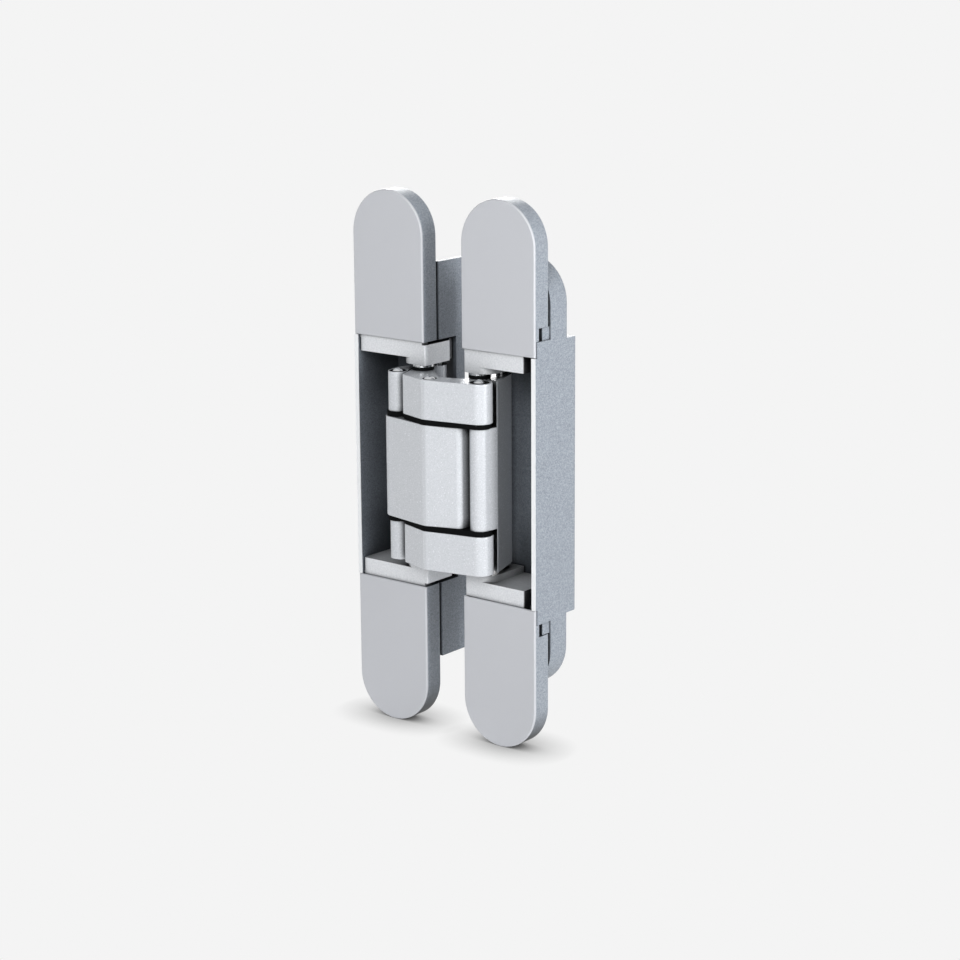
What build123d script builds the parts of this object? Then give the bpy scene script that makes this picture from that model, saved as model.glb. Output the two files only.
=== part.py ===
"""Concealed door hinge, modelled open at 180 degrees.

Built about the middle between the two sides, on the plane of the cover faces: X across the door, Y into
the frame and the door, Z up. Every piece is moved at the end to the frame side's screw seat.
In the functions, side is -1 for the frame and +1 for the door, and sign is +1 for the upper piece.
"""
import math
import os

from build123d import *

# Housings
LENGTH = 190.0            # over the rounded ends of the covers
WIDTH = 31.0              # of the covers
SPAN = 48.0               # between the two centrelines when open
PROUD = 0.2               # housing past the covers, on each side
COVER_DEPTH = 7.4         # cover from face to back edge
COVER_GAP = 1.2           # between that edge and the step behind it
DOOR_LOBE_DEPTH = 18.4    # second step of the door side
DEPTH = 23.2              # back of the deep box
WALL = 1.6
LIP_FRONT = 17.8          # front of the frame side's inner wall
WINDOW = 43.5             # half height of the window
WALL_END = 48.7           # half height of the outer wall
FRAME_BOX = 60.0          # half length of the frame side's deep box
FRAME_FIN = 70.6          # half length over the side fins that run on from it
FIN = 2.0
DOOR_BOX = 48.0           # half length of the door side's deep box
DOOR_LOBE = 75.4          # half length of the door side's lobes
BACK_ROUND = 1.2

# Covers and screw plates
COVER_FACE = 1.0
COVER_WALL = 1.3
COVER_FIT = 0.15
COVER_ROUND = 0.5
SEAT = 4.6                # front of the screw plate
CLIP_END = 53.2           # far end of the clip notch
CLIP_FRONT = 2.4
CLIP_ROOM = 3.0           # room in the screw plate behind the clip notch
LUG_INSET = 0.3           # catch of the housing, behind the cover's side
SCREW_R = 2.6
SCREW_HEAD_R = 5.0
SINK_ANGLE = 90
SCREW_Z = 83.0
INNER_SCREW_Z = 64.5

# Tiers of the linkage
TIER_TOP = 33.3
TIER_LOW = 19.5           # underside of the outer tiers
MIDDLE = 17.7             # half height of the middle tier
EDGE = 0.3                # broken edges of the arms

# Linkage in plan: depth from the inner side of a housing, and Y
MAIN_IN, MAIN_Y = 4.0, 4.8            # main pivot of an arm
REAR_IN, REAR_Y = 5.75, 14.55         # rear pin of a link
KNUCKLE_IN, KNUCKLE_Y = 9.4, -2.2     # end of the other side's arm, on the link
HEEL_IN, HEEL_Y = 12.9, 2.3           # outer corner of a link
SHOULDER_IN, SHOULDER_Y = 2.1, -4.6   # where the other side's arm turns back to its pivot
CENTRE = (0.0, -6.8)                  # centre pin
NOSE = (-1.0, -9.8)                   # front corner that both arms share
CLOSED_GAP = 4.6                      # between the two faces when closed

BARREL_R = 3.6
REAR_R = 3.4
HEEL_R = 0.6
ARM_END_R = 4.5
WAIST_R = 3.4
NOSE_R = 0.4
SHOULDER_R = 2.5
KNUCKLE_R = 3.5
PIN_R = 1.95
MAIN_PIN_R = 2.0
PIN_RECESS = 1.0
CENTRE_RECESS_R = 2.5
END_RECESS_R = 3.5
KNUCKLE_RECESS_R = 3.0
PIN_DOME = 1.0            # dome of a pin above the arm
RING_T = 0.9              # ring in a pin's recess
PIN_END = 41.0            # half length of the pins held in the blocks
RUN = 0.05                # running clearance on a pin
END_GAP = 1.3             # between a link and the arm end that turns in it
BARREL_GAP = 0.5          # between a link and the barrel and neck beside it

# Bearing blocks
BLOCK_FRONT = 1.2
BLOCK_GAP = 1.6           # between a block and the back wall
BLOCK_SIDE = 14.5         # back of the inner side
BLOCK_STEP = 1.8
BLOCK_LOW = 37.6          # underside of the thin part
BOSS_LOW = 35.3           # underside of the boss that holds the pivots
BOSS_W = 10.9
BOSS_ROUND = 4.4
DOOR_BLOCK_W = 25.3
BLOCK_EDGE = 0.4
SLIDE = 0.1               # sliding clearance of a block
HEIGHT_TRAVEL = 1.0       # frame side up and down
SIDE_TRAVEL = 1.0         # door side left and right
TONGUE_W = 14.0
TONGUE_FRONT = 6.0
TONGUE_BACK = 15.0
TONGUE_END = 56.0
APRON = 2.5               # front of a block, up behind the cover's edge
BUSH_R = 2.6
BUSH_FLANGE_R = 3.8
BUSH_FLANGE = 0.8
SLOT_GAP = 0.2
WASHER_R = 4.0
WASHER_T = 1.75

OVER = 1.0                # how far a cut runs past a face
HALF = WIDTH / 2
OFFSET = SPAN / 2
INNER = OFFSET - HALF     # inner side of a cover
OUTER = OFFSET + HALF + PROUD
SEAT_BACK = COVER_DEPTH + COVER_GAP
BODY_W = WIDTH + 2 * PROUD
BLOCK_BACK = DEPTH - WALL - BLOCK_GAP
PLACE = Location((OFFSET, -SEAT_BACK, 0))

MAIN = (-INNER - MAIN_IN, MAIN_Y)
REAR = (-INNER - REAR_IN, REAR_Y)
KNUCKLE = (-INNER - KNUCKLE_IN, KNUCKLE_Y)
HEEL = (-INNER - HEEL_IN, HEEL_Y)
SHOULDER = (INNER + SHOULDER_IN, SHOULDER_Y)
OUTER_TIERS = ((TIER_LOW, TIER_TOP), (-TIER_TOP, -TIER_LOW))
MIDDLE_TIER = ((-MIDDLE, MIDDLE),)
CLOSING = [-15.0 * i for i in range(13)]


def flip(point):
    """The same point on the other side of the hinge."""
    return (-point[0], point[1])


def on(side, point):
    """A point of the frame side, on the given side."""
    return point if side < 0 else flip(point)


def turn(point, about, degrees):
    a = math.radians(degrees)
    dx, dy = point[0] - about[0], point[1] - about[1]
    return (about[0] + dx * math.cos(a) - dy * math.sin(a),
            about[1] + dx * math.sin(a) + dy * math.cos(a))


def carry(point, start, end):
    """A point moved along with another one that goes from start to end."""
    return (point[0] - start[0] + end[0], point[1] - start[1] + end[1])


def arm_share():
    """Turn of the frame arm for one turn of the door, so that closing leaves the stated gap."""
    low, high = 0.5, 0.8
    for _ in range(60):
        mid = (low + high) / 2
        y = turn(CENTRE, MAIN, -180 * mid)[1]
        low, high = (mid, high) if y < -CLOSED_GAP / 2 else (low, mid)
    return (low + high) / 2


ARM_SHARE = arm_share()


def knuckle_at(door):
    """Place of the frame link's knuckle when the door has turned by this many degrees."""
    centre = turn(CENTRE, MAIN, ARM_SHARE * door)
    return turn(carry(KNUCKLE, CENTRE, centre), centre, (1 - ARM_SHARE) * door)


def rear_path(share):
    """Places that the rear pin takes in its block while the door closes, for a turn share of the link."""
    places = []
    for door in CLOSING:
        end = knuckle_at(door)
        places.append(turn(carry(REAR, KNUCKLE, end), end, share * door))
    return places


def path_length(share):
    path = rear_path(share)
    return max(math.dist(p, q) for p in path for q in path)


def link_share():
    """Turn of a link for one turn of the door that moves the rear pin least."""
    shares = [0.35 + 0.005 * i for i in range(41)]
    return min(shares, key=path_length)


LINK_SHARE = link_share()


def main_path():
    """Places that the main pivot takes beside the frame link while the door closes."""
    places = []
    for door in CLOSING:
        end = knuckle_at(door)
        places.append(carry(turn(MAIN, end, -LINK_SHARE * door), end, KNUCKLE))
    return places


def rear_slot():
    """Round-ended slot around the rear pin's path: its two end centres and its radius."""
    path = rear_path(LINK_SHARE)
    a, b = max(((p, q) for p in path for q in path), key=lambda pair: math.dist(*pair))
    length = math.dist(a, b)
    nx, ny = (a[1] - b[1]) / length, (b[0] - a[0]) / length
    off = [(p[0] - a[0]) * nx + (p[1] - a[1]) * ny for p in path]
    shift = (max(off) + min(off)) / 2
    ends = [(p[0] + nx * shift, p[1] + ny * shift) for p in (a, b)]
    return ends, MAIN_PIN_R + SLOT_GAP + (max(off) - min(off)) / 2


def at_depth(y):
    """Upright plane at a depth; what is drawn there is extruded to the front."""
    return Plane.XZ.offset(-y)


def band(sign, z0, z1):
    """Limits of an upper band, or of its mirror image below."""
    return sorted((sign * z0, sign * z1))


def post(point, r, z0, z1, mode=Mode.ADD):
    """Upright cylinder."""
    with Locations((point[0], point[1], (z0 + z1) / 2)):
        Cylinder(r, z1 - z0, mode=mode)


def hull(circles, z0, z1, mode=Mode.ADD):
    """Upright slab on the convex hull of circles given as (point, radius)."""
    with BuildSketch(Plane.XY.offset(z0)) as plan:
        make_hull([Edge.make_circle(r, Plane(origin=(point[0], point[1], 0))) for point, r in circles])
    extrude(plan.sketch, amount=z1 - z0, mode=mode)


def housing(side):
    """Stepped housing with its screw plates, window and guides for the blocks."""
    x = side * OFFSET
    outer = side * OUTER
    inset = COVER_WALL + COVER_FIT
    with BuildPart() as body:
        with BuildSketch(at_depth(SEAT_BACK)):
            with Locations((x, 0)):
                SlotOverall(LENGTH - 2 * inset, WIDTH - 2 * inset, rotation=90)
        extrude(amount=SEAT_BACK - SEAT)
        edge = x + side * (HALF - inset)
        with BuildSketch(at_depth(SEAT_BACK)):
            with Locations((edge, 0)):
                with GridLocations(0, WALL_END + CLIP_END, 1, 2):
                    Rectangle(2 * CLIP_ROOM, CLIP_END - WALL_END)
        extrude(amount=SEAT_BACK - SEAT, mode=Mode.SUBTRACT)
        if side > 0:
            with BuildSketch(at_depth(DOOR_LOBE_DEPTH)):
                with Locations((x, 0)):
                    SlotOverall(2 * DOOR_LOBE, BODY_W, rotation=90)
            extrude(amount=DOOR_LOBE_DEPTH - SEAT_BACK)
            fillet(body.faces().sort_by(Axis.Y)[-1].edges(), BACK_ROUND)
        with BuildSketch(at_depth(DEPTH)):
            with Locations((x, 0)):
                Rectangle(BODY_W, 2 * (FRAME_FIN if side < 0 else DOOR_BOX))
        extrude(amount=DEPTH - SEAT_BACK)
        fillet(body.faces().sort_by(Axis.Y)[-1].edges(), BACK_ROUND)
        if side < 0:
            with BuildSketch(at_depth(DEPTH)):
                with Locations((x, 0)):
                    with GridLocations(0, 2 * FRAME_FIN, 1, 2):
                        Rectangle(BODY_W - 2 * FIN, 2 * (FRAME_FIN - FRAME_BOX))
            extrude(amount=DEPTH - SEAT_BACK, mode=Mode.SUBTRACT)
        for half, front in ((WALL_END, COVER_FACE + COVER_FIT), (WINDOW - COVER_FIT, 0)):
            with BuildSketch(at_depth(SEAT_BACK)):
                with Locations((outer - side * WALL / 2, 0)):
                    Rectangle(WALL, 2 * half)
            extrude(amount=SEAT_BACK - front)
        lug = outer - side * (PROUD + LUG_INSET + COVER_WALL / 2)
        with BuildSketch(at_depth(SEAT_BACK)):
            with Locations((lug, 0)):
                with GridLocations(0, WALL_END + CLIP_END - COVER_FIT, 1, 2):
                    Rectangle(COVER_WALL, CLIP_END - COVER_FIT - WALL_END)
        extrude(amount=SEAT_BACK - SEAT)
        clear = side * (INNER - PROUD - OVER)
        lip = side * (INNER - PROUD + WALL)
        cuts = ((clear, LIP_FRONT), (lip, DEPTH - WALL)) if side < 0 else ((clear, DEPTH - WALL),)
        for start, depth in cuts:
            end = outer - side * WALL
            with BuildSketch(at_depth(depth)):
                with Locations(((start + end) / 2, 0)):
                    Rectangle(abs(end - start), 2 * WINDOW)
            extrude(amount=depth + OVER, mode=Mode.SUBTRACT)
        slack = SLIDE + (SIDE_TRAVEL if side > 0 else 0)
        top = TONGUE_END + SLIDE + (HEIGHT_TRAVEL if side < 0 else 0)
        with BuildSketch(at_depth(TONGUE_BACK + SLIDE)):
            with Locations((x, 0)):
                Rectangle(TONGUE_W + 2 * slack, 2 * top)
        extrude(amount=TONGUE_BACK - TONGUE_FRONT + 2 * SLIDE, mode=Mode.SUBTRACT)
        for z in (SCREW_Z, INNER_SCREW_Z):
            with Locations(at_depth(SEAT)):
                with Locations((x, z), (x, -z)):
                    CounterSinkHole(SCREW_R, SCREW_HEAD_R, counter_sink_angle=SINK_ANGLE)
    return body.part


def cover(side, sign):
    """Clip-on cap over a screw plate, open at the window end."""
    x = side * OFFSET
    with BuildPart() as cap:
        with BuildSketch(at_depth(COVER_DEPTH)):
            with Locations((x, 0)):
                SlotOverall(LENGTH, WIDTH, rotation=90)
        extrude(amount=COVER_DEPTH)
        split(bisect_by=Plane.XY.offset(sign * WINDOW), keep=Keep.TOP if sign > 0 else Keep.BOTTOM)
        fillet(cap.faces().sort_by(Axis.Y)[0].edges(), COVER_ROUND)
        with BuildSketch(at_depth(COVER_DEPTH)):
            with Locations((x, 0)):
                SlotOverall(LENGTH - 2 * COVER_WALL, WIDTH - 2 * COVER_WALL, rotation=90)
        extrude(amount=COVER_DEPTH - COVER_FACE, mode=Mode.SUBTRACT)
        with BuildSketch(Plane.YZ.offset(x + side * (HALF - COVER_WALL - PROUD))):
            for front, end in ((COVER_FACE, WALL_END + COVER_FIT), (CLIP_FRONT, CLIP_END)):
                low, high = band(sign, WINDOW - OVER, end)
                with Locations(((front + COVER_DEPTH) / 2, (low + high) / 2)):
                    Rectangle(COVER_DEPTH - front, high - low)
        extrude(amount=side * (COVER_WALL + OVER), mode=Mode.SUBTRACT)
    return cap.part


def block(side, sign):
    """Bearing block: a plate with a boss for the pivots, a guide tongue and an apron behind the cover."""
    x = side * OFFSET
    inner = side * (INNER + SLIDE)
    stepped = inner + side * BLOCK_STEP
    outer = side * (OUTER - WALL - SLIDE) if side < 0 else inner + DOOR_BLOCK_W
    boss = inner + side * BOSS_W
    head = WINDOW - SLIDE - (HEIGHT_TRAVEL if side < 0 else 0)
    room = HALF - COVER_WALL - 2 * SLIDE - (SIDE_TRAVEL if side > 0 else 0)
    reach = min(room, abs(outer - x))
    ends, slot_r = rear_slot()
    with BuildPart() as bearing:
        for far, z0, z1 in ((outer, BLOCK_LOW, head), (boss, BOSS_LOW, BLOCK_LOW)):
            with BuildSketch(Plane.XY.offset(z0)) as plan:
                with BuildLine():
                    Polyline((inner, BLOCK_FRONT), (far, BLOCK_FRONT), (far, BLOCK_BACK), (stepped, BLOCK_BACK),
                             (stepped, BLOCK_SIDE + BLOCK_STEP), (inner, BLOCK_SIDE), close=True)
                make_face()
                if far == boss:
                    front = plan.vertices().group_by(Axis.Y)[0].sort_by(Axis.X)
                    fillet(front[-1 if side > 0 else 0], BOSS_ROUND)
            extrude(amount=z1 - z0)
        front = bearing.edges().filter_by(Axis.Z).group_by(Axis.Y)[0].sort_by(Axis.X)
        fillet([front[0], front[-1]], BLOCK_EDGE)
        with BuildSketch(at_depth(SEAT - COVER_FIT)):
            with Locations((x + side * (reach - room) / 2, (head + WINDOW + APRON) / 2)):
                Rectangle(room + reach, WINDOW + APRON - head)
        extrude(amount=SEAT - COVER_FIT - BLOCK_FRONT)
        with BuildSketch(at_depth(TONGUE_BACK)):
            with Locations((x, (head + TONGUE_END) / 2)):
                Rectangle(TONGUE_W, TONGUE_END - head)
        extrude(amount=TONGUE_BACK - TONGUE_FRONT)
        post(on(side, MAIN), BUSH_R, BOSS_LOW, head, Mode.SUBTRACT)
        hull([(on(side, q), slot_r) for q in ends], BOSS_LOW - OVER, PIN_END + SLOT_GAP, Mode.SUBTRACT)
        if sign < 0:
            mirror(about=Plane.XY, mode=Mode.REPLACE)
    return bearing.part


def arm_tier(end, main, shoulder, z0, z1):
    """One tier of an arm: bar from the centre to its end, and neck back to the main pivot."""
    hull([(end, ARM_END_R), (CENTRE, WAIST_R), (NOSE, NOSE_R)], z0, z1)
    hull([(CENTRE, WAIST_R), (NOSE, NOSE_R), (shoulder, SHOULDER_R), (main, BARREL_R)], z0, z1)


def centre_washers():
    """Spacer plates under the bars of the frame arm, and a ring in each recess of the centre pin."""
    end = flip(KNUCKLE)
    with BuildPart() as plates:
        for sign in (1, -1):
            z0, z1 = band(sign, TIER_LOW - WASHER_T, TIER_LOW)
            hull([(end, WASHER_R), (CENTRE, WAIST_R), (NOSE, NOSE_R)], z0, z1)
            hull([(CENTRE, WAIST_R), (NOSE, NOSE_R), (flip(SHOULDER), SHOULDER_R - EDGE)], z0, z1)
            post(CENTRE, CENTRE_RECESS_R - RUN, *band(sign, TIER_TOP - PIN_RECESS, TIER_TOP - PIN_RECESS + RING_T))
        for point in (CENTRE, end):
            post(point, PIN_R + RUN, -LENGTH, LENGTH, Mode.SUBTRACT)
    return plates.part


def recesses(point, r):
    """Recess for a pin's domed end, in the top and the bottom face."""
    for sign in (1, -1):
        post(point, r, *band(sign, TIER_TOP - PIN_RECESS, TIER_TOP + OVER), Mode.SUBTRACT)


def frame_arm():
    """Forked arm on the frame's pivot, with the two outer tiers."""
    end = flip(KNUCKLE)
    with BuildPart() as arm:
        for z0, z1 in OUTER_TIERS:
            arm_tier(end, MAIN, flip(SHOULDER), z0, z1)
        fillet([edge for face in arm.faces().filter_by(Axis.Z) for edge in face.outer_wire().edges()], EDGE)
        post(MAIN, BARREL_R, -TIER_LOW - EDGE, TIER_LOW + EDGE)
        post(MAIN, MAIN_PIN_R, -LENGTH, LENGTH, Mode.SUBTRACT)
        for point, recess in ((CENTRE, CENTRE_RECESS_R), (end, END_RECESS_R)):
            post(point, PIN_R, -LENGTH, LENGTH, Mode.SUBTRACT)
            recesses(point, recess)
    return arm.part


def door_arm():
    """Arm on the door's pivot, in the middle tier."""
    main = flip(MAIN)
    with BuildPart() as arm:
        arm_tier(KNUCKLE, main, SHOULDER, -MIDDLE, MIDDLE)
        fillet([edge for face in arm.faces().filter_by(Axis.Z) for edge in face.outer_wire().edges()], EDGE)
        post(main, BARREL_R, -TIER_TOP, TIER_TOP)
        post(main, MAIN_PIN_R, -LENGTH, LENGTH, Mode.SUBTRACT)
        for point in (CENTRE, KNUCKLE):
            post(point, PIN_R + RUN, -LENGTH, LENGTH, Mode.SUBTRACT)
    return arm.part


def link(side):
    """Link from the rear pin to the other side's arm, cut free of that arm's end and of its own arm."""
    knuckle, heel, rear = (on(side, q) for q in (KNUCKLE, HEEL, REAR))
    tiers = OUTER_TIERS if side < 0 else MIDDLE_TIER
    free = ((-TIER_LOW, TIER_LOW),) if side < 0 else ((MIDDLE, TIER_TOP + OVER), (-TIER_TOP - OVER, -MIDDLE))
    swing = (LINK_SHARE - (1 - ARM_SHARE)) * 180
    reach = ARM_END_R + END_GAP
    beside = BARREL_R + BARREL_GAP
    path = [on(side, q) for q in main_path()]
    neck = on(side, flip(SHOULDER))
    with BuildPart() as web:
        hull([(knuckle, KNUCKLE_R), (heel, HEEL_R), (rear, REAR_R)], -TIER_TOP, TIER_TOP)
        for near, far in zip(path, path[1:]):
            hull([(near, beside), (far, beside)], -LENGTH, LENGTH, Mode.SUBTRACT)
        hull([(path[0], beside + RUN), (neck, SHOULDER_R + BARREL_GAP)], -LENGTH, LENGTH, Mode.SUBTRACT)
        for z0, z1 in free:
            for share in (0, 0.25, 0.5, 0.75, 1):
                far = on(side, turn(CENTRE, KNUCKLE, swing * share))
                hull([(knuckle, reach), (far, reach)], z0, z1, Mode.SUBTRACT)
        for z0, z1 in tiers:
            post(knuckle, KNUCKLE_R, z0, z1)
        post(rear, MAIN_PIN_R, -LENGTH, LENGTH, Mode.SUBTRACT)
        post(knuckle, PIN_R if side < 0 else PIN_R + RUN, -LENGTH, LENGTH, Mode.SUBTRACT)
        if side < 0:
            recesses(knuckle, KNUCKLE_RECESS_R)
    return web.part


def domed_pin(point):
    """Riveted pin with domed ends."""
    end = TIER_TOP + PIN_DOME
    with BuildPart() as pin:
        with BuildSketch(Plane(origin=(*point, 0), x_dir=(1, 0, 0), z_dir=(0, -1, 0))):
            with BuildLine():
                Line((0, -end), (0, end))
                TangentArc((0, end), (PIN_R, TIER_TOP), tangent=(1, 0))
                Line((PIN_R, TIER_TOP), (PIN_R, -TIER_TOP))
                TangentArc((0, -end), (PIN_R, -TIER_TOP), tangent=(1, 0))
            make_face()
        revolve(axis=Axis((*point, 0), (0, 0, 1)))
    return pin.part


def plain_pin(point):
    """Pin held in an arm or a link, with chamfered ends in the blocks."""
    with BuildPart() as pin:
        post(point, MAIN_PIN_R, -PIN_END, PIN_END)
        chamfer(pin.edges().filter_by(GeomType.CIRCLE), EDGE)
    return pin.part


def bushes(side):
    """The two flanged bushes of a main pivot."""
    main = on(side, MAIN)
    head = WINDOW - SLIDE - (HEIGHT_TRAVEL if side < 0 else 0)
    with BuildPart() as pair:
        for sign in (1, -1):
            post(main, BUSH_R, *band(sign, BOSS_LOW, head))
            post(main, BUSH_FLANGE_R, *band(sign, BOSS_LOW - BUSH_FLANGE, BOSS_LOW))
        post(main, MAIN_PIN_R + RUN, -LENGTH, LENGTH, Mode.SUBTRACT)
    return pair.part


def pivot_washers(side):
    """The two washers between an arm's barrel and its bushes."""
    main = on(side, MAIN)
    with BuildPart() as pair:
        for sign in (1, -1):
            post(main, BUSH_FLANGE_R, *band(sign, TIER_TOP, BOSS_LOW - BUSH_FLANGE - RUN))
        post(main, MAIN_PIN_R + RUN, -LENGTH, LENGTH, Mode.SUBTRACT)
    return pair.part


def rings(point, recess):
    """The ring in each recess of a pin."""
    floor = TIER_TOP - PIN_RECESS
    with BuildPart() as pair:
        for sign in (1, -1):
            post(point, recess - RUN, *band(sign, floor, floor + RING_T))
        post(point, PIN_R + RUN, -LENGTH, LENGTH, Mode.SUBTRACT)
    return pair.part


def frame_link_washers():
    """The washer under each knuckle of the frame link, and the rings in its recesses."""
    with BuildPart() as washers:
        for sign in (1, -1):
            post(KNUCKLE, WASHER_R, *band(sign, TIER_LOW - WASHER_T, TIER_LOW))
        post(KNUCKLE, PIN_R + RUN, -LENGTH, LENGTH, Mode.SUBTRACT)
        add(rings(KNUCKLE, KNUCKLE_RECESS_R))
    return washers.part


NODES = {
    "frame_housing": housing(-1),
    "door_housing": housing(1),
    "frame_cover_upper": cover(-1, 1),
    "frame_cover_lower": cover(-1, -1),
    "door_cover_upper": cover(1, 1),
    "door_cover_lower": cover(1, -1),
    "frame_block_upper": block(-1, 1),
    "frame_block_lower": block(-1, -1),
    "door_block_upper": block(1, 1),
    "door_block_lower": block(1, -1),
    "frame_arm": frame_arm(),
    "door_arm": door_arm(),
    "frame_link": link(-1),
    "door_link": link(1),
    "centre_pin": domed_pin(CENTRE),
    "frame_link_pin": domed_pin(KNUCKLE),
    "door_link_pin": domed_pin(flip(KNUCKLE)),
    "frame_arm_pin": plain_pin(MAIN),
    "door_arm_pin": plain_pin(flip(MAIN)),
    "frame_rear_pin": plain_pin(REAR),
    "door_rear_pin": plain_pin(flip(REAR)),
    "frame_bushes": bushes(-1),
    "door_bushes": bushes(1),
    "frame_pivot_washers": pivot_washers(-1),
    "door_pivot_washers": pivot_washers(1),
    "centre_washers": centre_washers(),
    "frame_link_washers": frame_link_washers(),
    "door_link_washers": rings(flip(KNUCKLE), END_RECESS_R),
}

os.makedirs("parts", exist_ok=True)
for name, shape in NODES.items():
    piece = shape.moved(PLACE)
    piece.label = name
    export_step(piece, f"parts/{name}.step")
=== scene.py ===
"""Finishes of a concealed door hinge, with the studio that shows it."""
import math

import bmesh
import bpy
from bpy.props import FloatProperty, FloatVectorProperty, PointerProperty
from bpy.types import Operator, Panel, PropertyGroup
from mathutils import Matrix, Vector


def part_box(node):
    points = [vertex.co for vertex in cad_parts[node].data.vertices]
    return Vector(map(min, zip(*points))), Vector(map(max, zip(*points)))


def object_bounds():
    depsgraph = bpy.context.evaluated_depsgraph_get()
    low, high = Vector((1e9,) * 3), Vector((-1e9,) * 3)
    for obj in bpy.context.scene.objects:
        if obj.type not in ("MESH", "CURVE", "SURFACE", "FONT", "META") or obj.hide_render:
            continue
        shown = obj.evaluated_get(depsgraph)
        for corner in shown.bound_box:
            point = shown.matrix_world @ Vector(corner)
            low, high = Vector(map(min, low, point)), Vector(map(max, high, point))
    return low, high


bl_info = {
    "name": "Concealed hinge finishes",
    "version": (1, 0, 0),
    "blender": (4, 5, 0),
    "location": "View3D > Sidebar > Hinge",
    "description": "Paint, cast and ground finishes of a concealed door hinge, and its studio",
    "category": "Object",
}

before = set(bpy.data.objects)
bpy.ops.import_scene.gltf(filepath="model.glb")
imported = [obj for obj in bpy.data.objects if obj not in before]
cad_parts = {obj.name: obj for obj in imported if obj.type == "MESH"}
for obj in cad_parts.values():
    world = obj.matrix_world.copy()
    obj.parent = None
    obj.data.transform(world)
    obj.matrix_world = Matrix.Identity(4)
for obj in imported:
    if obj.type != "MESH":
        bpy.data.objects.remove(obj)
CAD_BOX = [list(corner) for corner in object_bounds()]
MIDDLE = (Vector(CAD_BOX[0]) + Vector(CAD_BOX[1])) / 2
COVER_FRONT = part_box("frame_cover_upper")[0].y
MM = 0.001                  # metres in a millimetre

# Grains in millimetres, beside those that HingeFinish holds.
CLOUD = 0.9                 # soft patches in the flake lacquer
PEEL = 0.6                  # unevenness of the caps' sprayed fronts
POLISH = 0.3                # patches on the ground pins and bushes
MOULDING = 0.5              # patches on the washers
CAST_TIMES = 1.6            # the zinc castings' grain, as a multiple of the blasted aluminium's

# Depths behind the caps' front, in millimetres: whole to the first one and gone at the second.
RIM = (0.1, 0.3)            # bright front rim of the housings
FACE = (0.4, 0.9)           # smooth front of the caps

# Shade is painted into the hollows, close to black, so the finishes darken there: how near other surfaces
# stand, in millimetres, and the colour at the bottom of the painted shade.
POCKET_SHADE = (24, "#1d2024")    # housings and caps
NICHE_SHADE = (14, "#17181a")     # bearing blocks
CREVICE_SHADE = (4, "#111213")    # arms and links
SEAT_SHADE = (4, "#101112")       # pins and bushes
SHUT, OPEN = 0.25, 0.9      # open share of the surroundings at the bottom, and where the own colour starts
AO_SAMPLES = 16

# Lamps: turn and height in degrees, distance in metres, and width and height in metres.
KEY_PLACE = (24, 20, 1.1, (0.7, 0.7))
SIDE_PLACE = (88, 15, 0.9, (0.2, 0.55))
BACK_PLACE = (222, 14, 1.1, (0.7, 0.7))

FLOOR_HALF = 3.0            # metres from the middle of the floor to its edge
FLOOR_SHADE = 0.015         # metres that the hinge's shade reaches over the floor
SENSOR = 36.0               # width of the camera's sensor in millimetres


def linear(code):
    """Linear colour of an sRGB hex value."""
    parts = [int(code[i:i + 2], 16) / 255 for i in (1, 3, 5)]
    return tuple(c / 12.92 if c <= 0.04045 else ((c + 0.055) / 1.055) ** 2.4 for c in parts)


def per_mm(size):
    """Texture scale, on coordinates in metres, of a pattern whose grain is this many millimetres."""
    return 1 / (size * MM)


def add(tree, kind, inputs=None, **settings):
    """Adds a node, sets its settings, and sets or links its inputs."""
    node = tree.nodes.new(kind)
    for name, value in settings.items():
        setattr(node, name, value)
    for name, value in (inputs or {}).items():
        if isinstance(value, bpy.types.NodeSocket):
            tree.links.new(value, node.inputs[name])
        else:
            node.inputs[name].default_value = value
    return node


def new_material(name):
    """Empty node material and its tree."""
    material = bpy.data.materials.new(name)
    material.use_nodes = True
    material.node_tree.nodes.clear()
    return material, material.node_tree


def flakes(tree, place, finish):
    """Grain of the silver lacquer, from zero to one, and its colour."""
    # Flakes of such a lacquer are some hundredths of a millimetre across. They are drawn as coarse as the
    # render needs to show them.
    grain = add(tree, "ShaderNodeTexVoronoi", {"Vector": place, "Scale": per_mm(finish.flake)})
    cloud = add(tree, "ShaderNodeTexNoise", {"Vector": place, "Scale": per_mm(CLOUD), "Detail": 3.0})
    mixed = add(tree, "ShaderNodeMix", {
        "Factor": 0.3, "A": grain.outputs["Color"], "B": cloud.outputs["Color"]}, data_type="RGBA")
    grey = add(tree, "ShaderNodeRGBToBW", {"Color": mixed.outputs["Result"]})
    value = add(tree, "ShaderNodeMapRange", {
        "Value": grey.outputs[0], "From Min": 0.25, "From Max": 0.75}).outputs["Result"]
    colour = add(tree, "ShaderNodeMix", {
        "Factor": value, "A": (*linear("#7c838c"), 1), "B": (*finish.lacquer, 1)}, data_type="RGBA")
    return value, colour.outputs["Result"]


def painted_shade_in_hollows(tree, colour, reach, shade_colour):
    """Colour with painted shade: it falls to a dark one where other surfaces stand within a reach in
    millimetres.
    """
    near = add(tree, "ShaderNodeAmbientOcclusion", {"Distance": reach * MM}, samples=AO_SAMPLES)
    open_share = add(tree, "ShaderNodeMapRange", {
        "Value": near.outputs["AO"], "From Min": SHUT, "From Max": OPEN})
    mixed = add(tree, "ShaderNodeMix", {
        "Factor": open_share.outputs["Result"], "A": (*linear(shade_colour), 1), "B": colour}, data_type="RGBA")
    return mixed.outputs["Result"]


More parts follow.
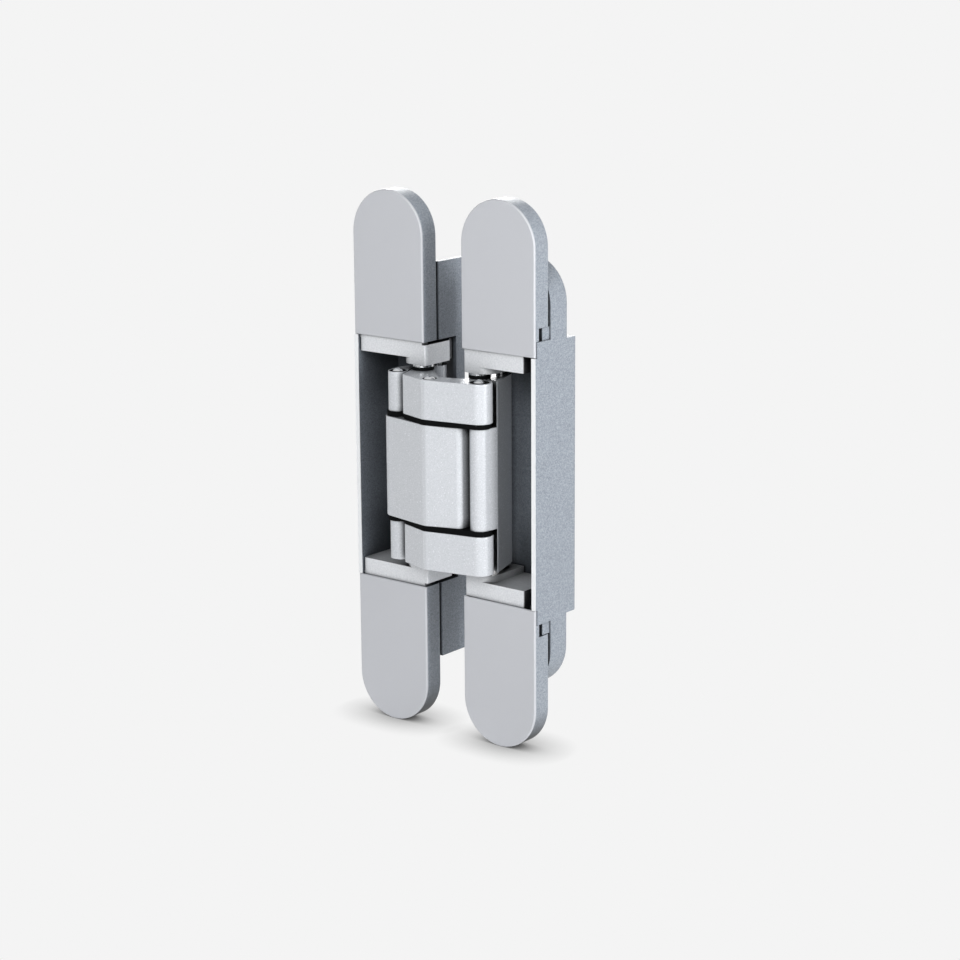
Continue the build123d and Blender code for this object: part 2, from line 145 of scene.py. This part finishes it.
def flake_lacquer(finish):
    """Silver flake lacquer sprayed on a zinc casting: fine grains on a cool grey, and bright front rims."""
    material, tree = new_material("silver_flake_lacquer")
    place = add(tree, "ShaderNodeTexCoord").outputs["Object"]
    value, colour = flakes(tree, place, finish)
    depth = add(tree, "ShaderNodeSeparateXYZ", {"Vector": place}).outputs["Y"]
    rim = add(tree, "ShaderNodeMapRange", {
        "Value": depth, "From Min": COVER_FRONT + RIM[1] * MM, "From Max": COVER_FRONT + RIM[0] * MM})
    # Painted shade darkens the lacquer where other surfaces stand near: in the pockets and between the two
    # bodies.
    colour = add(tree, "ShaderNodeMix", {
        "Factor": rim.outputs["Result"], "A": painted_shade_in_hollows(tree, colour, *POCKET_SHADE),
        "B": (*linear("#eaecee"), 1)}, data_type="RGBA")
    rough = add(tree, "ShaderNodeMapRange", {"Value": value, "To Min": 0.52, "To Max": 0.38})
    bump = add(tree, "ShaderNodeBump", {"Height": value, "Strength": 0.25, "Distance": 0.05 * MM})
    shader = add(tree, "ShaderNodeBsdfPrincipled", {
        "Base Color": colour.outputs["Result"], "Roughness": rough.outputs["Result"],
        "Specular IOR Level": 0.3, "Normal": bump.outputs[0]})
    add(tree, "ShaderNodeOutputMaterial", {"Surface": shader.outputs[0]})
    return material


def cover_lacquer(finish):
    """Satin lacquer on the cap faces, smooth in front, with the housing's flakes on the sides."""
    material, tree = new_material("satin_cover_lacquer")
    place = add(tree, "ShaderNodeTexCoord").outputs["Object"]
    depth = add(tree, "ShaderNodeSeparateXYZ", {"Vector": place}).outputs["Y"]
    side = add(tree, "ShaderNodeMapRange", {
        "Value": depth, "From Min": COVER_FRONT + FACE[0] * MM, "From Max": COVER_FRONT + FACE[1] * MM})
    # The flaked sides of the caps get painted shade where other surfaces stand near.
    flakes_and_shade = painted_shade_in_hollows(tree, flakes(tree, place, finish)[1], *POCKET_SHADE)
    colour = add(tree, "ShaderNodeMix", {
        "Factor": side.outputs["Result"], "A": (*finish.cover, 1), "B": flakes_and_shade}, data_type="RGBA")
    peel = add(tree, "ShaderNodeTexNoise", {"Vector": place, "Scale": per_mm(PEEL), "Detail": 1.0})
    bump = add(tree, "ShaderNodeBump", {
        "Height": peel.outputs["Fac"], "Strength": 0.06, "Distance": 0.04 * MM})
    shader = add(tree, "ShaderNodeBsdfPrincipled", {
        "Base Color": colour.outputs["Result"], "Roughness": 0.42, "Normal": bump.outputs[0]})
    add(tree, "ShaderNodeOutputMaterial", {"Surface": shader.outputs[0]})
    return material


def satin_aluminium(finish):
    """Bead-blasted and anodised aluminium of the arms: pale, with a frosted grain and soft highlights."""
    material, tree = new_material("satin_anodised_aluminium")
    place = add(tree, "ShaderNodeTexCoord").outputs["Object"]
    # The grain, too, is drawn as coarse as the render needs to show it.
    grain = add(tree, "ShaderNodeTexNoise", {
        "Vector": place, "Scale": per_mm(finish.blast), "Detail": 4.0}).outputs["Fac"]
    shade = add(tree, "ShaderNodeMapRange", {"Value": grain, "From Min": 0.2, "From Max": 0.75})
    colour = add(tree, "ShaderNodeMix", {
        "Factor": shade.outputs["Result"], "A": (*linear("#b2b6bb"), 1), "B": (*finish.arms, 1)},
        data_type="RGBA")
    rough = add(tree, "ShaderNodeMapRange", {"Value": grain, "To Min": 0.22, "To Max": 0.3})
    bump = add(tree, "ShaderNodeBump", {"Height": grain, "Strength": 0.015, "Distance": 0.03 * MM})
    # Painted shade darkens the arms and links where other surfaces stand near: between the tiers and round
    # the pins.
    shader = add(tree, "ShaderNodeBsdfPrincipled", {
        "Base Color": painted_shade_in_hollows(tree, colour.outputs["Result"], *CREVICE_SHADE), "Metallic": 0.15,
        "Roughness": rough.outputs["Result"], "Specular IOR Level": 1.0, "Normal": bump.outputs[0]})
    add(tree, "ShaderNodeOutputMaterial", {"Surface": shader.outputs[0]})
    return material


def cast_zinc(finish):
    """Lacquered zinc casting of the bearing blocks: paler, rougher and coarser in grain than the arms."""
    material, tree = new_material("lacquered_zinc_casting")
    place = add(tree, "ShaderNodeTexCoord").outputs["Object"]
    grain = add(tree, "ShaderNodeTexNoise", {
        "Vector": place, "Scale": per_mm(finish.blast * CAST_TIMES), "Detail": 4.0}).outputs["Fac"]
    shade = add(tree, "ShaderNodeMapRange", {"Value": grain, "From Min": 0.3, "From Max": 0.7})
    colour = add(tree, "ShaderNodeMix", {
        "Factor": shade.outputs["Result"], "A": (*linear("#cfd2d6"), 1), "B": (*linear("#e2e4e7"), 1)},
        data_type="RGBA")
    rough = add(tree, "ShaderNodeMapRange", {"Value": grain, "To Min": 0.38, "To Max": 0.5})
    bump = add(tree, "ShaderNodeBump", {"Height": grain, "Strength": 0.2, "Distance": 0.04 * MM})
    # Painted shade darkens the blocks where other surfaces stand near, such as their tops beside the arms.
    shader = add(tree, "ShaderNodeBsdfPrincipled", {
        "Base Color": painted_shade_in_hollows(tree, colour.outputs["Result"], *NICHE_SHADE), "Metallic": 0.15,
        "Roughness": rough.outputs["Result"], "Normal": bump.outputs[0]})
    add(tree, "ShaderNodeOutputMaterial", {"Surface": shader.outputs[0]})
    return material


def ground_steel():
    """Hardened and ground steel of the pins and bushes: bright, with faint patches in the polish."""
    material, tree = new_material("ground_steel")
    place = add(tree, "ShaderNodeTexCoord").outputs["Object"]
    polish = add(tree, "ShaderNodeTexNoise", {
        "Vector": place, "Scale": per_mm(POLISH), "Detail": 2.0}).outputs["Fac"]
    rough = add(tree, "ShaderNodeMapRange", {"Value": polish, "To Min": 0.1, "To Max": 0.2})
    colour = add(tree, "ShaderNodeMix", {
        "Factor": polish, "A": (*linear("#c4c6c8"), 1), "B": (*linear("#dadcde"), 1)}, data_type="RGBA")
    # Painted shade darkens the pins and bushes where they sit among other parts, round the domes and in the
    # gaps.
    shader = add(tree, "ShaderNodeBsdfPrincipled", {
        "Base Color": painted_shade_in_hollows(tree, colour.outputs["Result"], *SEAT_SHADE), "Metallic": 1.0,
        "Roughness": rough.outputs["Result"]})
    add(tree, "ShaderNodeOutputMaterial", {"Surface": shader.outputs[0]})
    return material


def black_acetal():
    """Moulded black acetal of the washers: close to black and dull."""
    material, tree = new_material("black_acetal")
    place = add(tree, "ShaderNodeTexCoord").outputs["Object"]
    patches = add(tree, "ShaderNodeTexNoise", {"Vector": place, "Scale": per_mm(MOULDING), "Detail": 2.0})
    rough = add(tree, "ShaderNodeMapRange", {
        "Value": patches.outputs["Fac"], "To Min": 0.75, "To Max": 0.85})
    shader = add(tree, "ShaderNodeBsdfPrincipled", {
        "Base Color": (*linear("#0a0b0c"), 1), "Roughness": rough.outputs["Result"],
        "Specular IOR Level": 0.05})
    add(tree, "ShaderNodeOutputMaterial", {"Surface": shader.outputs[0]})
    return material


def dress(names, material):
    """Gives CAD nodes one material."""
    for name in names:
        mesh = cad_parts[name].data
        mesh.materials.clear()
        mesh.materials.append(material)


class HingeFinish(PropertyGroup):
    """Colours and grain sizes of the finishes."""
    lacquer: FloatVectorProperty(
        name="Lacquer", description="Lighter grains of the housings' silver lacquer",
        default=linear("#a0a7b0"), size=3, subtype="COLOR")
    cover: FloatVectorProperty(
        name="Covers", description="Front of the caps", default=linear("#bec0c5"), size=3, subtype="COLOR")
    arms: FloatVectorProperty(
        name="Arms", description="Lighter grains of the arms and links",
        default=linear("#d2d5da"), size=3, subtype="COLOR")
    flake: FloatProperty(
        name="Flake", description="Visible grain of the silver lacquer in millimetres",
        default=0.27, min=0.05)
    blast: FloatProperty(
        name="Blast grain", description="Visible grain of the blasted aluminium in millimetres",
        default=0.36, min=0.05)


class HingeStudio(PropertyGroup):
    """Light, background and camera."""
    background: FloatVectorProperty(
        name="Background", description="Colour of the floor and the world behind it",
        default=linear("#f4f4f4"), size=3, subtype="COLOR")
    ambient: FloatProperty(
        name="Ambient", description="Strength of the light from all round", default=0.04)
    key: FloatProperty(
        name="Key", description="Power of the large lamp in front", default=9.6, unit="POWER")
    side: FloatProperty(
        name="Side", description="Power of the tall lamp on the door's side", default=5.9, unit="POWER")
    back: FloatProperty(
        name="Back", description="Power of the large lamp behind, on the frame's side",
        default=11.0, unit="POWER")
    azimuth: FloatProperty(
        name="Azimuth", description="Turn of the camera about the hinge",
        default=math.radians(38.67), subtype="ANGLE")
    elevation: FloatProperty(
        name="Elevation", description="Height angle of the camera",
        default=math.radians(13.66), subtype="ANGLE")
    roll: FloatProperty(
        name="Roll", description="Turn of the camera about its line of sight",
        default=math.radians(-0.39), subtype="ANGLE")
    distance: FloatProperty(
        name="Distance", description="Camera to the middle of the hinge's front",
        default=0.8219, unit="LENGTH")
    aside: FloatProperty(
        name="Aside", description="Camera to the right of the middle", default=0.01262, unit="LENGTH")
    below: FloatProperty(
        name="Below", description="Camera under the middle", default=0.00333, unit="LENGTH")
    lens: FloatProperty(
        name="Lens", description="Focal length in millimetres", default=89.59, unit="CAMERA")


class HINGE_OT_housings(Operator):
    """Paints the two housings"""
    bl_idname = "hinge.housings"
    bl_label = "Housings"

    def execute(self, context):
        dress(("frame_housing", "door_housing"), flake_lacquer(context.scene.hinge_finish))
        return {"FINISHED"}


class HINGE_OT_covers(Operator):
    """Paints the four caps"""
    bl_idname = "hinge.covers"
    bl_label = "Covers"

    def execute(self, context):
        names = [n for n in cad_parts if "_cover_" in n]
        dress(names, cover_lacquer(context.scene.hinge_finish))
        return {"FINISHED"}


class HINGE_OT_blocks(Operator):
    """Finishes the four bearing blocks"""
    bl_idname = "hinge.blocks"
    bl_label = "Bearing blocks"

    def execute(self, context):
        names = [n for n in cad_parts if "_block_" in n]
        dress(names, cast_zinc(context.scene.hinge_finish))
        return {"FINISHED"}


class HINGE_OT_arms(Operator):
    """Finishes the arms and links"""
    bl_idname = "hinge.arms"
    bl_label = "Arms and links"

    def execute(self, context):
        names = ("frame_arm", "door_arm", "frame_link", "door_link")
        dress(names, satin_aluminium(context.scene.hinge_finish))
        return {"FINISHED"}


class HINGE_OT_pins(Operator):
    """Finishes the pins, bushes and washers"""
    bl_idname = "hinge.pins"
    bl_label = "Pins, bushes and washers"

    def execute(self, context):
        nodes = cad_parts
        dress([n for n in nodes if n.endswith(("_pin", "_bushes"))], ground_steel())
        dress([n for n in nodes if n.endswith("_washers")], black_acetal())
        return {"FINISHED"}


def direction(azimuth, elevation):
    """Unit vector from the hinge to a place round it; azimuth zero is in front."""
    return Vector((math.sin(azimuth) * math.cos(elevation), -math.cos(azimuth) * math.cos(elevation),
                   math.sin(elevation)))


def area_lamp(name, azimuth, elevation, distance, size, power):
    """Oblong lamp round the hinge, turned to its middle."""
    data = bpy.data.lights.new(name, "AREA")
    data.shape = "RECTANGLE"
    data.size, data.size_y = size
    data.energy = power
    lamp = bpy.data.objects.new(name, data)
    back = direction(math.radians(azimuth), math.radians(elevation))
    lamp.location = MIDDLE + back * distance
    lamp.rotation_euler = back.to_track_quat("Z", "Y").to_euler()
    bpy.context.scene.collection.objects.link(lamp)


def seen_directly(tree):
    """One for rays from the camera, mirrors and glass, and zero for the rest."""
    path = add(tree, "ShaderNodeLightPath")
    first = add(tree, "ShaderNodeMath", {
        0: path.outputs["Is Camera Ray"], 1: path.outputs["Is Glossy Ray"]}, operation="MAXIMUM")
    return add(tree, "ShaderNodeMath", {
        0: first.outputs[0], 1: path.outputs["Is Transmission Ray"]}, operation="MAXIMUM").outputs[0]


class HINGE_OT_stage(Operator):
    """Makes the floor, the light and the camera"""
    bl_idname = "hinge.stage"
    bl_label = "Stage"

    def execute(self, context):
        studio = context.scene.hinge_studio
        self.floor(studio, CAD_BOX[0][2])
        self.world(context.scene, studio)
        area_lamp("key_lamp", *KEY_PLACE, studio.key)
        area_lamp("side_lamp", *SIDE_PLACE, studio.side)
        area_lamp("back_lamp", *BACK_PLACE, studio.back)
        self.camera(context.scene, studio, Vector((MIDDLE.x, COVER_FRONT, MIDDLE.z)))
        context.scene.view_settings.view_transform = "Standard"
        return {"FINISHED"}

    def floor(self, studio, height):
        """Pale floor that shows the background's colour, with painted shadow where the hinge stands."""
        mesh = bpy.data.meshes.new("floor")
        shape = bmesh.new()
        bmesh.ops.create_grid(shape, x_segments=1, y_segments=1, size=FLOOR_HALF)
        bmesh.ops.translate(shape, verts=shape.verts, vec=(0, 0, height))
        shape.to_mesh(mesh)
        shape.free()
        floor = bpy.data.objects.new("floor", mesh)
        bpy.context.scene.collection.objects.link(floor)
        material, tree = new_material("pale_floor")
        pale = (*studio.background, 1)
        near = add(tree, "ShaderNodeAmbientOcclusion", {"Color": pale, "Distance": FLOOR_SHADE},
                   samples=AO_SAMPLES)
        shown = add(tree, "ShaderNodeEmission", {"Color": near.outputs["Color"]})
        lit = add(tree, "ShaderNodeBsdfDiffuse", {"Color": pale})
        both = add(tree, "ShaderNodeMixShader", {
            0: seen_directly(tree), 1: lit.outputs[0], 2: shown.outputs[0]})
        add(tree, "ShaderNodeOutputMaterial", {"Surface": both.outputs[0]})
        mesh.materials.append(material)

    def world(self, scene, studio):
        """Even soft light, with the pale background where it is seen."""
        world = bpy.data.worlds.new("studio")
        world.use_nodes = True
        tree = world.node_tree
        tree.nodes.clear()
        soft = add(tree, "ShaderNodeBackground", {"Color": (1, 1, 1, 1), "Strength": studio.ambient})
        pale = add(tree, "ShaderNodeBackground", {"Color": (*studio.background, 1), "Strength": 1.0})
        both = add(tree, "ShaderNodeMixShader", {
            0: seen_directly(tree), 1: soft.outputs[0], 2: pale.outputs[0]})
        add(tree, "ShaderNodeOutputWorld", {"Surface": both.outputs[0]})
        scene.world = world

    def camera(self, scene, studio, middle):
        """Camera at the photograph's angle, aimed a little beside the middle of the hinge's front."""
        back = direction(studio.azimuth, studio.elevation)
        right = Vector((math.cos(studio.azimuth), math.sin(studio.azimuth), 0))
        up = back.cross(right)
        across = right * math.cos(studio.roll) + up * math.sin(studio.roll)
        upright = up * math.cos(studio.roll) - right * math.sin(studio.roll)
        place = middle + back * studio.distance + across * studio.aside - upright * studio.below
        data = bpy.data.cameras.new("camera")
        data.lens = studio.lens
        data.sensor_width = SENSOR
        camera = bpy.data.objects.new("camera", data)
        turn = Matrix((across, upright, back)).transposed().to_4x4()
        camera.matrix_world = Matrix.Translation(place) @ turn
        scene.collection.objects.link(camera)
        scene.camera = camera


class HINGE_PT_panel(Panel):
    """Colours and sizes of the finishes and the studio, with one button for each group of pieces"""
    bl_idname = "HINGE_PT_panel"
    bl_label = "Concealed hinge"
    bl_space_type = "VIEW_3D"
    bl_region_type = "UI"
    bl_category = "Hinge"

    def draw(self, context):
        for group in (context.scene.hinge_finish, context.scene.hinge_studio):
            for name in group.__annotations__:
                self.layout.prop(group, name)
        for operator in OPERATORS:
            self.layout.operator(operator.bl_idname)


OPERATORS = (HINGE_OT_housings, HINGE_OT_covers, HINGE_OT_blocks, HINGE_OT_arms, HINGE_OT_pins,
             HINGE_OT_stage)
CLASSES = (HingeFinish, HingeStudio, *OPERATORS, HINGE_PT_panel)


def register():
    for cls in CLASSES:
        bpy.utils.register_class(cls)
    bpy.types.Scene.hinge_finish = PointerProperty(type=HingeFinish)
    bpy.types.Scene.hinge_studio = PointerProperty(type=HingeStudio)


def unregister():
    del bpy.types.Scene.hinge_studio
    del bpy.types.Scene.hinge_finish
    for cls in reversed(CLASSES):
        bpy.utils.unregister_class(cls)


def main():
    register()
    bpy.ops.hinge.housings()
    bpy.ops.hinge.covers()
    bpy.ops.hinge.blocks()
    bpy.ops.hinge.arms()
    bpy.ops.hinge.pins()
    bpy.ops.hinge.stage()


if __name__ == "__main__":
    main()
